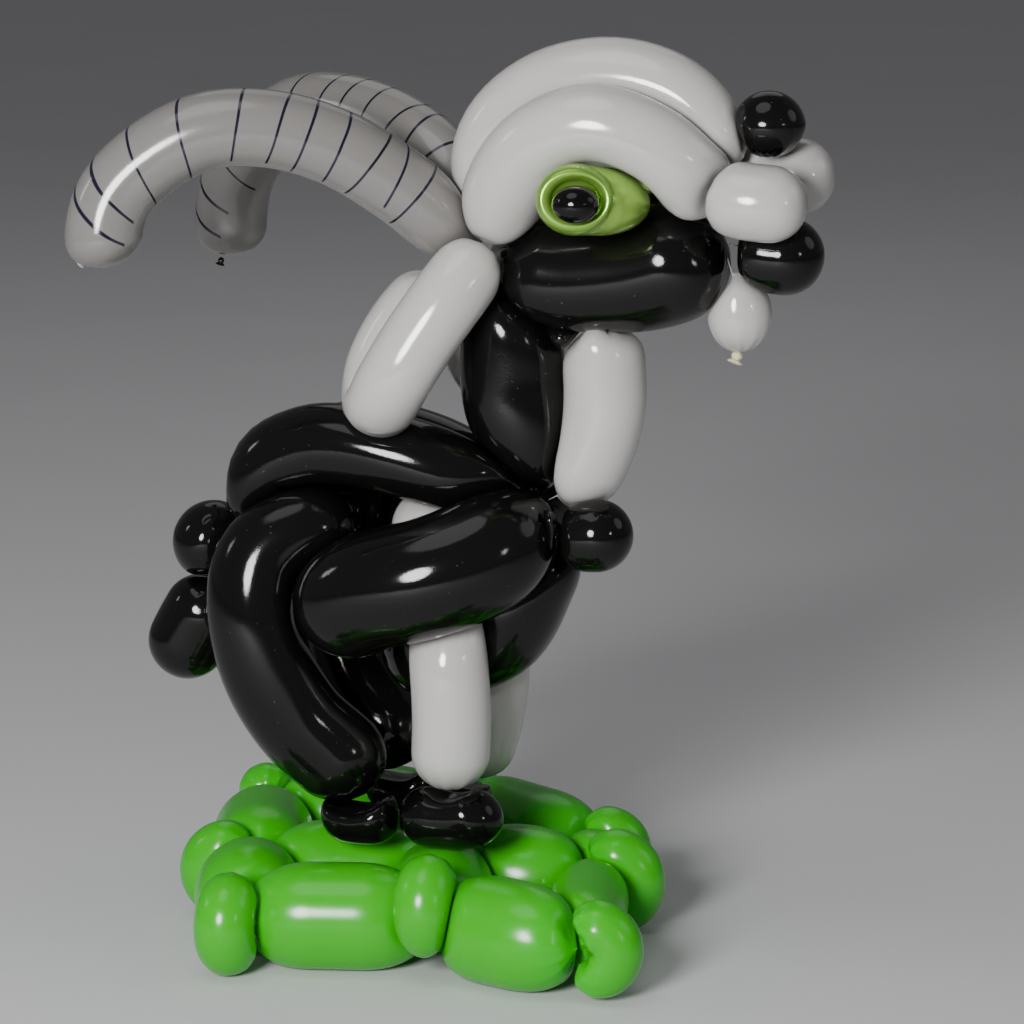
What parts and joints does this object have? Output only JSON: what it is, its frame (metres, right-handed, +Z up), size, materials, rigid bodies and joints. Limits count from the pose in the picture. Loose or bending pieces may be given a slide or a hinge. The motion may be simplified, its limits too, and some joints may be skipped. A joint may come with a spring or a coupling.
{
  "type": "balloon goat figure",
  "caption": "Goat twisted from long balloons, with swept-back grey horns, white face and ears, black body and white legs, standing on a green balloon pad.",
  "frame": {"origin": "middle of the outline's box, on the floor the pad rests on", "axes": "+X the way the goat faces, +Y its left side, +Z up"},
  "size_m": [0.455, 0.3732, 0.5735],
  "materials": {
    "white_latex": "pearly white balloon latex, satin gloss",
    "grey_latex": "warm grey balloon latex, satin gloss, with thin dark marker bands across the horns",
    "black_latex": "deep black balloon latex, high gloss",
    "green_latex": "bright grass green balloon latex, satin gloss",
    "lime_latex": "metallic lime green balloon latex, high gloss"
  },
  "bodies": {
    "root": {"horn_right": "grey_latex", "horn_left": "grey_latex", "crest": "white_latex", "brow_right": "white_latex", "brow_left": "white_latex", "jaw": "black_latex", "muzzle_right": "white_latex", "muzzle_left": "white_latex", "nose": "black_latex", "chin": "black_latex", "beard": "white_latex", "throat": "black_latex", "eye_right": "lime_latex", "eye_left": "lime_latex", "pupil_right": "black_latex", "pupil_left": "black_latex", "ear_right": "white_latex", "ear_left": "white_latex", "neck": "black_latex", "bib": "white_latex", "breast": "black_latex", "breast_pleat": "black_latex", "back_right": "black_latex", "back_left": "black_latex", "body_right": "black_latex", "body_left": "black_latex", "belly": "black_latex", "tail_upper": "black_latex", "tail_lower": "black_latex", "hind_leg_right": "black_latex", "hind_leg_left": "black_latex", "front_leg_right": "white_latex", "front_leg_left": "white_latex", "hind_hoof_right": "black_latex", "hind_hoof_left": "black_latex", "front_hoof_right": "black_latex", "front_hoof_left": "black_latex", "pad_front_0": "green_latex", "pad_tail_0": "green_latex", "pad_front_1": "green_latex", "pad_centre_0": "green_latex", "pad_head_0": "green_latex", "pad_middle_0": "green_latex", "pad_tail_1": "green_latex", "pad_middle_1": "green_latex", "pad_centre_1": "green_latex", "pad_head_1": "green_latex", "pad_rear_0": "green_latex", "pad_rear_1": "green_latex", "pinch_front_tail": "green_latex", "pinch_front_centre": "green_latex", "pinch_front_head": "green_latex", "pinch_middle_tail": "green_latex", "pinch_middle_head": "green_latex", "pinch_rear_tail": "green_latex", "pinch_rear_centre": "green_latex", "pinch_rear_head": "green_latex"}
  },
  "joints": []
}
